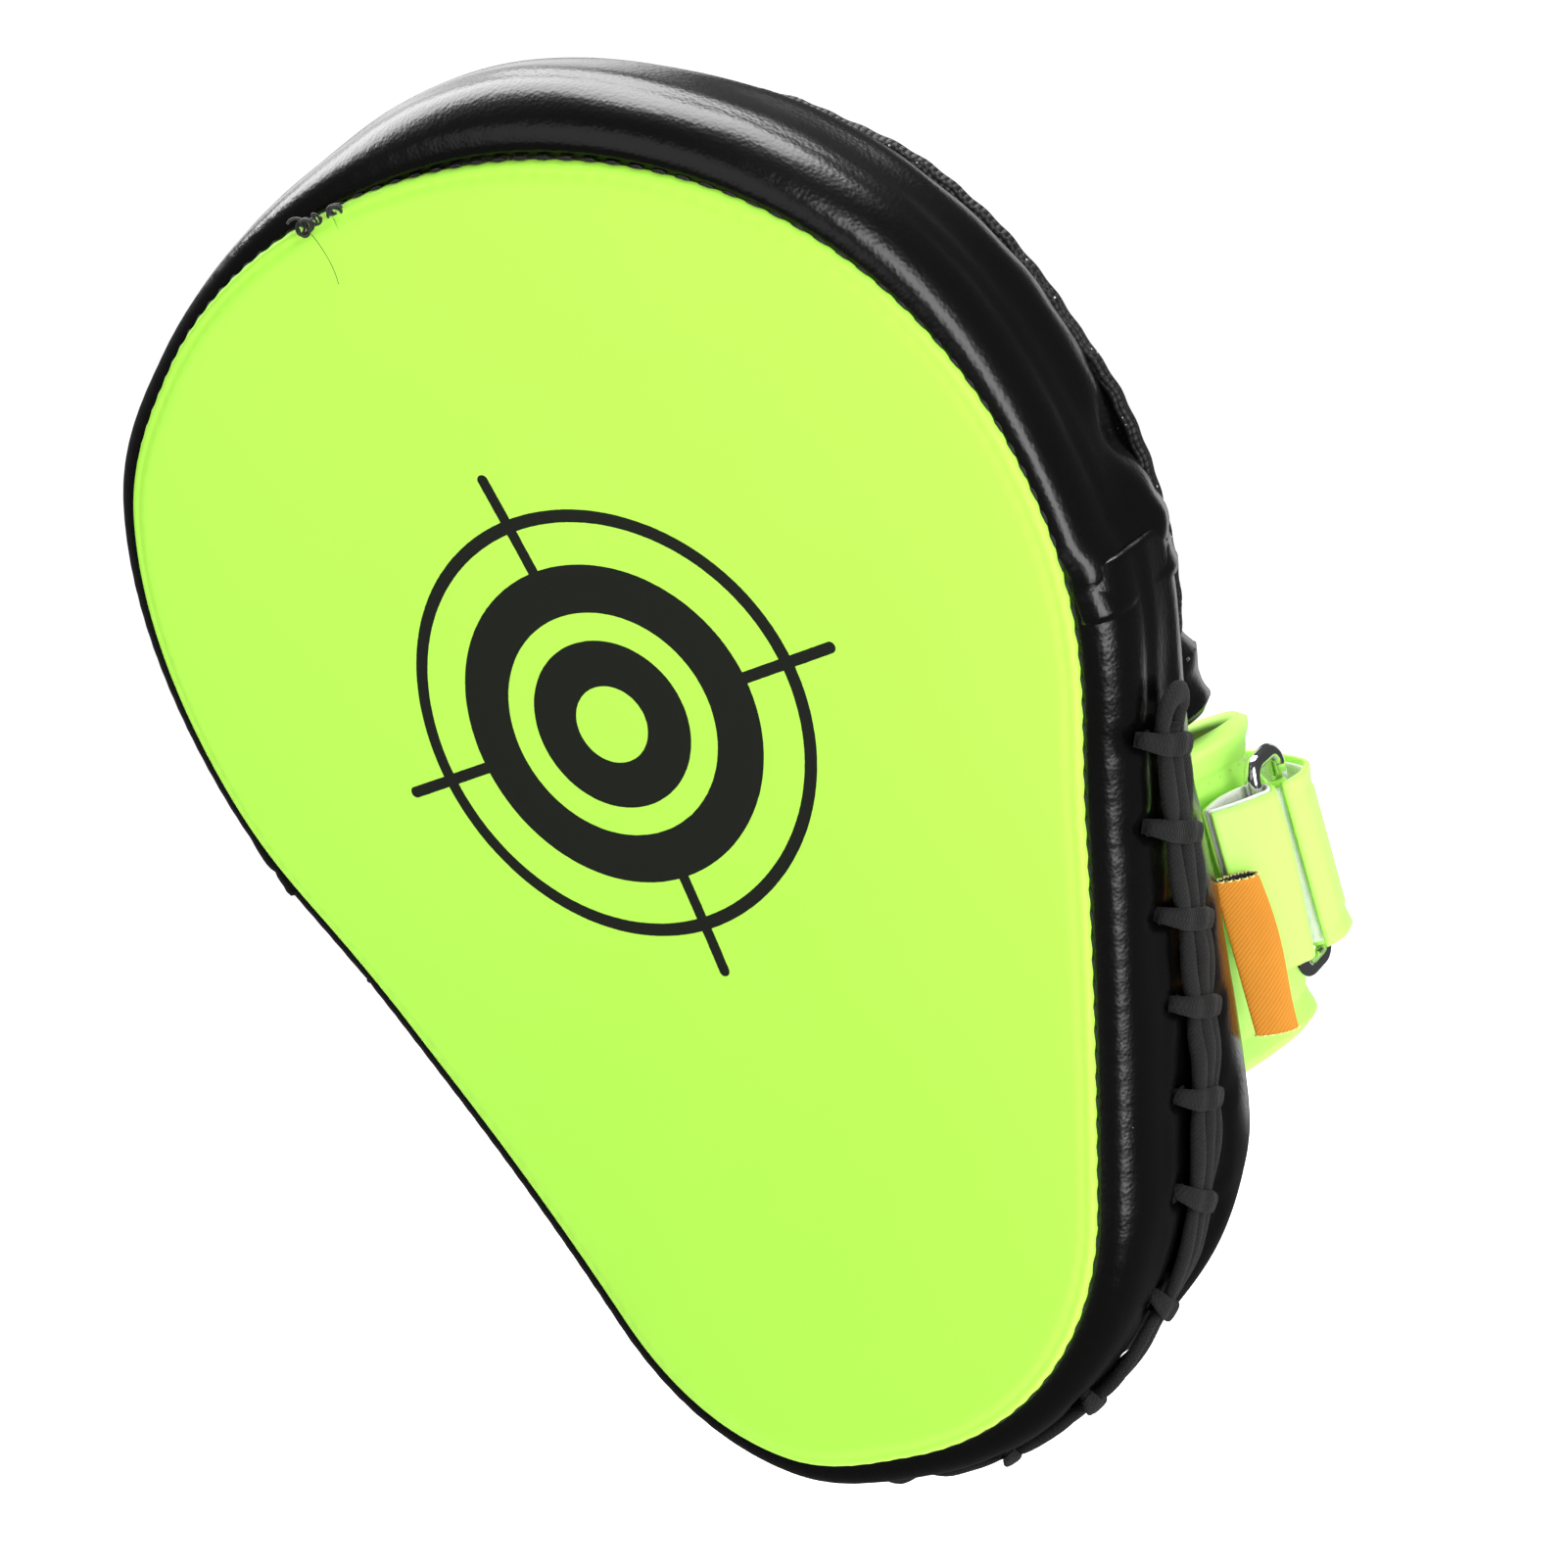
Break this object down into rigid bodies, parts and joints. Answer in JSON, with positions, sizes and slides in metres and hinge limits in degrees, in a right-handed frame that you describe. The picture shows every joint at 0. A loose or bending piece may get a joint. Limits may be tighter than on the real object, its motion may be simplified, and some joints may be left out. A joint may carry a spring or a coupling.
{
  "type": "focus mitt",
  "caption": "Curved hand-held punch target: padded teardrop pad with a laced side wall, printed crosshair face, hand cover and buckled wrist strap on the back.",
  "frame": {"origin": "where the palm rests on the back panel, on the pad's mid plane", "axes": "+Z towards the fingertips, -Y the way the strike face looks, +X to the right seen from the front"},
  "size_m": [0.1974, 0.1209, 0.2569],
  "materials": {
    "lime_pu": "smooth matt-gloss coated synthetic leather, fluorescent yellow-green",
    "black_pu": "glossy grained synthetic leather",
    "soft_foam": "open soft foam, inside",
    "dense_foam": "closed-cell foam board, inside",
    "panel_fabric": "tightly woven polyester backed with foam",
    "binding_tape": "coarse woven binding tape",
    "lace_cotton": "flat woven lace",
    "cuff_lining": "knitted padded lining",
    "hook_and_loop": "hook tape and loop pile",
    "ring_chrome": "bright plated wire",
    "label_twill": "printed twill tape"
  },
  "bodies": {
    "mitt": {"strike_face": "lime_pu", "cuff_wing_right": "lime_pu", "cuff_wing_left": "lime_pu", "closure_strap": "lime_pu", "ring_anchor": "lime_pu", "side_wall_upper": "black_pu", "side_wall_lower": "black_pu", "hand_cover": "black_pu", "strike_foam": "soft_foam", "palm_foam": "soft_foam", "foam_core": "dense_foam", "back_panel": "panel_fabric", "palm_grip": "panel_fabric", "edge_binding": "binding_tape", "lace_loop": "lace_cotton", "lace_runner": "lace_cotton", "lace_tie_right_01": "lace_cotton", "lace_tie_left_01": "lace_cotton", "lace_tie_right_02": "lace_cotton", "lace_tie_left_02": "lace_cotton", "lace_tie_right_03": "lace_cotton", "lace_tie_left_03": "lace_cotton", "lace_tie_right_04": "lace_cotton", "lace_tie_left_04": "lace_cotton", "lace_tie_right_05": "lace_cotton", "lace_tie_left_05": "lace_cotton", "lace_tie_right_06": "lace_cotton", "lace_tie_left_06": "lace_cotton", "lace_tie_right_07": "lace_cotton", "lace_tie_left_07": "lace_cotton", "lace_tie_right_08": "lace_cotton", "lace_tie_left_08": "lace_cotton", "lace_tie_right_09": "lace_cotton", "lace_tie_left_09": "lace_cotton", "cuff_pad_right": "cuff_lining", "cuff_pad_left": "cuff_lining", "loop_patch": "hook_and_loop"},
    "flap": {"closure_flap": "lime_pu", "hook_patch": "hook_and_loop"},
    "ring": {"buckle_ring": "ring_chrome"},
    "label": {"label_loop": "label_twill"}
  },
  "joints": [
    {"name": "flap_peel", "type": "hinge", "parent": "mitt", "child": "flap", "pos_m": [0.07275, 0.03302, -0.05722], "axis": [-0.2219, 0.0986, -0.9701], "range_deg": [0, 80]},
    {"name": "ring_swing", "type": "hinge", "parent": "mitt", "child": "ring", "pos_m": [0.07219, 0.02302, -0.057], "axis": [-0.2219, 0.0986, -0.9701], "range_deg": [-4, 4]},
    {"name": "label_flip", "type": "hinge", "parent": "mitt", "child": "label", "pos_m": [0.06516, 0.00897, -0.06556], "axis": [-0.2219, 0.0986, -0.9701], "range_deg": [-4, 50]}
  ]
}
